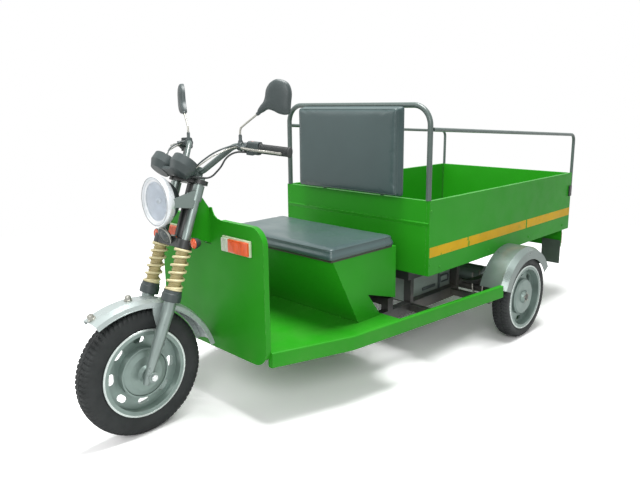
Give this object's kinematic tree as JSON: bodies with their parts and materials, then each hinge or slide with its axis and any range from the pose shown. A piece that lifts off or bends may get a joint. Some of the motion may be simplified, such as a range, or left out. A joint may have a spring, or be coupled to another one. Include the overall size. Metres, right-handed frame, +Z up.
{
  "type": "electric cargo rickshaw",
  "caption": "Three-wheeled electric cargo rickshaw with an open load box, raked front fork, bench seat, drop tailgate and hinged seat.",
  "frame": {"origin": "on the ground at the middle of the overall length and width", "axes": "+X forward, +Y to the rider's left, +Z up"},
  "size_m": [2.9542, 1.226, 1.3169],
  "materials": {
    "green_paint": "gloss",
    "black_frame": "satin",
    "grey_tube": "satin",
    "silver_paint": "satin",
    "cast_alloy": "satin",
    "fork_alloy": "satin",
    "spring_cream": "satin",
    "tyre_rubber": "matte",
    "soft_rubber": "matte",
    "seat_vinyl": "satin",
    "plywood": "matte",
    "battery_grey": "satin",
    "black_plastic": "matte",
    "chrome_trim": "polished",
    "lamp_glass": "clear",
    "orange_lens": "gloss",
    "red_lens": "gloss"
  },
  "bodies": {
    "chassis": {"chassis_frame": "black_frame", "box_subframe": "black_frame", "outriggers": "black_frame", "front_pillar": "green_paint", "head_tube": "black_frame", "front_apron": "green_paint", "floor_panel": "green_paint", "side_rail_left": "green_paint", "side_rail_right": "green_paint", "seat_box": "green_paint", "cargo_floor": "green_paint", "cargo_front": "green_paint", "cargo_side_left": "green_paint", "cargo_side_right": "green_paint", "tailgate_latches": "black_frame", "hoop_frame": "grey_tube", "hand_rail_left": "grey_tube", "hand_rail_right": "grey_tube", "backrest": "seat_vinyl", "battery_box": "battery_grey", "rear_mudguard_left": "silver_paint", "rear_mudguard_right": "silver_paint", "rear_panel": "green_paint", "mud_flaps": "soft_rubber", "tail_lamps": "red_lens", "marker_lamps": "orange_lens", "leaf_spring_left": "black_frame", "leaf_spring_right": "black_frame", "rear_axle": "black_frame", "drive_motor": "cast_alloy", "brake_pedal": "black_frame"},
    "steering": {"fork_crown": "black_frame", "fork_legs": "fork_alloy", "fork_collars": "black_plastic", "fork_springs": "spring_cream", "front_axle": "chrome_trim", "front_brake_plate": "cast_alloy", "front_mudguard": "silver_paint", "headlamp_shell": "black_plastic", "headlamp_lens": "lamp_glass", "headlamp_bracket": "silver_paint", "instrument_pods": "black_plastic", "handlebar": "grey_tube", "handlebar_grips": "soft_rubber", "hand_controls": "black_plastic", "mirrors": "black_plastic", "front_indicators": "orange_lens", "control_cables": "soft_rubber"},
    "front_wheel_assembly": {"front_tyre": "tyre_rubber", "front_wheel": "cast_alloy"},
    "rear_wheel_left_assembly": {"rear_tyre_left": "tyre_rubber", "rear_wheel_left": "cast_alloy"},
    "rear_wheel_right_assembly": {"rear_tyre_right": "tyre_rubber", "rear_wheel_right": "cast_alloy"},
    "tailgate_panel": {"tailgate": "green_paint"},
    "seat_lid": {"seat_pan": "plywood", "seat_cushion": "seat_vinyl"}
  },
  "joints": [
    {"name": "steering", "type": "hinge", "parent": "chassis", "child": "steering", "pos_m": [1.20581, 0, 0.23574], "axis": [-0.342, 0, 0.9397], "range_deg": [-38, 38]},
    {"name": "front_wheel_spin", "type": "hinge", "parent": "steering", "child": "front_wheel_assembly", "pos_m": [1.234, 0, 0.246], "axis": [0, 1, 0], "continuous": true},
    {"name": "rear_wheel_left_spin", "type": "hinge", "parent": "chassis", "child": "rear_wheel_left_assembly", "pos_m": [-0.668, 0.559, 0.218], "axis": [0, 1, 0], "continuous": true},
    {"name": "rear_wheel_right_spin", "type": "hinge", "parent": "chassis", "child": "rear_wheel_right_assembly", "pos_m": [-0.668, -0.559, 0.218], "axis": [0, 1, 0], "continuous": true},
    {"name": "tailgate_hinge", "type": "hinge", "parent": "chassis", "child": "tailgate_panel", "pos_m": [-1.465, 0, 0.46], "axis": [0, -1, 0], "range_deg": [0, 170]},
    {"name": "seat_hinge", "type": "hinge", "parent": "chassis", "child": "seat_lid", "pos_m": [0.16, 0, 0.611], "axis": [0, -1, 0], "range_deg": [0, 70]}
  ]
}
